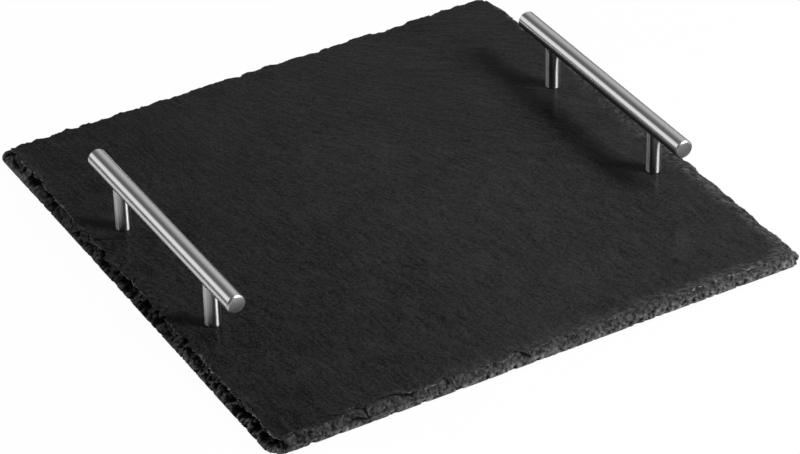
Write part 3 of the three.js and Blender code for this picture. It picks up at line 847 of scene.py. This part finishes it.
# %% Zinc-plated fixings
zinc_plate, tree = new_material("zinc_plated_steel")
place = add_node(tree, "TexCoord").outputs["Object"]
cloud = add_node(tree, "TexNoise", {"Vector": place, "Scale": 1 / (2.5 * MM), "Detail": 3.0}).outputs[0]
colour = add_node(tree, "Mix", {0: cloud, 6: linear("#a9adb3"), 7: linear("#c9ccd1")},
                  data_type="RGBA").outputs[2]
rough = add_node(tree, "MapRange", {0: cloud, 1: 0.3, 2: 0.7, 3: 0.3, 4: 0.42}).outputs[0]
shader = add_node(tree, "BsdfPrincipled", {
    "Base Color": colour, "Metallic": 1.0, "Roughness": rough,
}).outputs[0]
add_node(tree, "OutputMaterial", {0: shader})
fixings = [node for name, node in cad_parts.items() if name.endswith(("_screw", "_washer", "_stud"))]
for node in fixings:
    node.data.materials.clear()
    node.data.materials.append(zinc_plate)
print("zinc on", len(fixings), "fixings")

# %% [markdown]
# The feet are small moulded discs of black rubber, stuck on near the corners. Moulded rubber is matt, with
# a very fine eggshell texture from the mould.

# %% Moulded rubber feet
moulded_rubber, tree = new_material("moulded_black_rubber")
place = add_node(tree, "TexCoord").outputs["Object"]
eggshell = add_node(tree, "TexNoise", {"Vector": place, "Scale": 1 / (0.6 * MM), "Detail": 2.0}).outputs[0]
colour = add_node(tree, "Mix", {0: eggshell, 6: linear("#141414"), 7: linear("#1f1f1e")},
                  data_type="RGBA").outputs[2]
bump = add_node(tree, "Bump", {"Height": eggshell, "Strength": 1.0, "Distance": 0.03 * MM}).outputs[0]
shader = add_node(tree, "BsdfPrincipled", {
    "Base Color": colour, "Roughness": 0.75, "IOR": 1.52, "Normal": bump,
}).outputs[0]
add_node(tree, "OutputMaterial", {0: shader})
feet = [node for name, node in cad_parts.items() if name.endswith("_foot")]
for node in feet:
    node.data.materials.clear()
    node.data.materials.append(moulded_rubber)
print("rubber on", len(feet), "feet")

# %% [markdown]
# The tray stands on a plain white studio floor, which ends a little outside the picture. The camera and the
# metal see most of the floor as an even white, and the rest of it as a real matt surface, so that the tray
# keeps a soft shadow under it.

# %% White floor
EVEN_SHARE = 0.98
FLOOR_X, FLOOR_Y = (-0.5, 0.6), (-0.6, 0.5)
floor_white, tree = new_material("matt_white_floor")
rays = add_node(tree, "LightPath").outputs
seen = rays["Is Camera Ray"]
for kind in ("Is Glossy Ray", "Is Transmission Ray"):
    seen = add_node(tree, "Math", {0: seen, 1: rays[kind]}, operation="MAXIMUM").outputs[0]
even = add_node(tree, "Math", {0: seen, 1: EVEN_SHARE}, operation="MULTIPLY").outputs[0]
matt = add_node(tree, "BsdfDiffuse", {"Color": linear("#dcdcdc")}).outputs[0]
white = add_node(tree, "Emission", {"Color": linear("#ffffff"), "Strength": 1.0}).outputs[0]
mixed = add_node(tree, "MixShader", {0: even, 1: matt, 2: white}).outputs[0]
add_node(tree, "OutputMaterial", {0: mixed})

floor_mesh = bpy.data.meshes.new("studio_floor")
floor_mesh.from_pydata([(FLOOR_X[0], FLOOR_Y[0], 0), (FLOOR_X[1], FLOOR_Y[0], 0), (FLOOR_X[1], FLOOR_Y[1], 0),
                        (FLOOR_X[0], FLOOR_Y[1], 0)], [], [(0, 1, 2, 3)])
floor_mesh.materials.append(floor_white)
floor = bpy.data.objects.new("studio_floor", floor_mesh)
bpy.context.collection.objects.link(floor)
print("floor of", round(FLOOR_X[1] - FLOOR_X[0], 2), "by", round(FLOOR_Y[1] - FLOOR_Y[0], 2), "m")

# %% [markdown]
# Photographers lay dark card round a shiny object, so that the metal gets a crisp dark line. This card lies
# on the floor to the left and behind, with a strip along the right side, and only reflections see it.

# %% Dark card
card_black, tree = new_material("matt_black_card")
add_node(tree, "OutputMaterial", {0: add_node(tree, "BsdfDiffuse", {"Color": linear("#2a2a2a")}).outputs[0]})
card_mesh = bpy.data.meshes.new("dark_card")
left, back, far = -0.24, 0.26, 0.9
strip_left, strip_right, strip_front = 0.155, 0.26, -0.25
card_mesh.from_pydata(
    [(-far, -far, MM), (left, -far, MM), (left, back, MM), (far, back, MM), (far, far, MM), (-far, far, MM),
     (strip_left, strip_front, MM), (strip_right, strip_front, MM), (strip_right, back, MM),
     (strip_left, back, MM)],
    [], [(0, 1, 2, 5), (2, 3, 4, 5), (6, 7, 8, 9)])
card_mesh.materials.append(card_black)
card = bpy.data.objects.new("dark_card", card_mesh)
bpy.context.collection.objects.link(card)
card.visible_camera = card.visible_diffuse = card.visible_shadow = False
print("dark card of", len(card_mesh.polygons), "faces")

# %% [markdown]
# One large soft box high at the front right lights the tray, so that shadows fall to the left and back. The
# rest of the light comes from the room, which the next step draws.

# %% Soft box
KEY_AT = (0.729, -0.869, 1.058)
KEY_SIZE, KEY_POWER = 0.5, 28.5


def soft_box(name, place, target, width, height, power):
    """A rectangular soft light that faces a point, and is itself out of the camera's sight."""
    data = bpy.data.lights.new(name, "AREA")
    data.shape = "RECTANGLE"
    data.size, data.size_y = width, height
    data.energy = power
    lamp = bpy.data.objects.new(name, data)
    lamp.location = place
    lamp.rotation_euler = (Vector(target) - Vector(place)).to_track_quat("-Z", "Y").to_euler()
    lamp.visible_camera = False
    bpy.context.collection.objects.link(lamp)


soft_box("key_front_right", KEY_AT, (0, 0, 0), KEY_SIZE, KEY_SIZE, KEY_POWER)
print("key light at", round(math.hypot(*KEY_AT), 2), "m")

# %% [markdown]
# The room is drawn on the world: darker on the camera's side, and with a few white walls, which draw the
# long bands on the bars. Each wall is a soft spot of light about a direction. Towards the floor the room
# turns dark, and the camera itself sees only white.

# %% Room
# Each wall: turn and rise of its middle, its even core and where it fades out, in degrees, and its strength.
WALLS = (
    (131, 19, 4, 24, 1.64),
    (52, 24, 2, 38, 0.66),
    (168, 5, 3, 16, 3.0),
    (-50, 8, 5, 20, 4.0),
    (105, 42, 5, 34, 0.17),
)
REARWARD = (0.45, 0.75, 0.48)
world = bpy.data.worlds.new("white_walled_room")
world.use_nodes = True
tree = world.node_tree
tree.nodes.clear()
looking = add_node(tree, "TexCoord").outputs["Generated"]
rearward = add_node(tree, "VectorMath", {0: looking, 1: REARWARD}, operation="DOT_PRODUCT").outputs["Value"]
light = add_node(tree, "MapRange", {0: rearward, 1: -0.2, 2: 0.95, 3: 0.0, 4: 0.04}).outputs[0]
for *angles, strength in WALLS:
    turn_at, rise_at, core, reach = (math.radians(angle) for angle in angles)
    wall = (math.cos(turn_at) * math.cos(rise_at), math.sin(turn_at) * math.cos(rise_at), math.sin(rise_at))
    toward = add_node(tree, "VectorMath", {0: looking, 1: wall}, operation="DOT_PRODUCT").outputs["Value"]
    glow = add_node(tree, "MapRange", {0: toward, 1: math.cos(reach), 2: math.cos(core), 3: 0.0, 4: strength},
                    interpolation_type="SMOOTHSTEP").outputs[0]
    light = add_node(tree, "Math", {0: light, 1: glow}, operation="ADD").outputs[0]
up_share = add_node(tree, "SeparateXYZ", {0: looking}).outputs["Z"]
above = add_node(tree, "MapRange", {0: up_share, 1: 0.0, 2: 0.14, 3: 0.15, 4: 1.0}).outputs[0]
light = add_node(tree, "Math", {0: light, 1: above}, operation="MULTIPLY").outputs[0]
seen = add_node(tree, "LightPath").outputs["Is Camera Ray"]
level = add_node(tree, "Mix", {0: seen, 2: light, 3: 1.0}).outputs[0]
background = add_node(tree, "Background", {"Color": linear("#ffffff"), "Strength": level}).outputs[0]
add_node(tree, "OutputWorld", {0: background})
bpy.context.scene.world = world
print("a room of", len(WALLS), "white walls,", len(tree.nodes), "nodes")
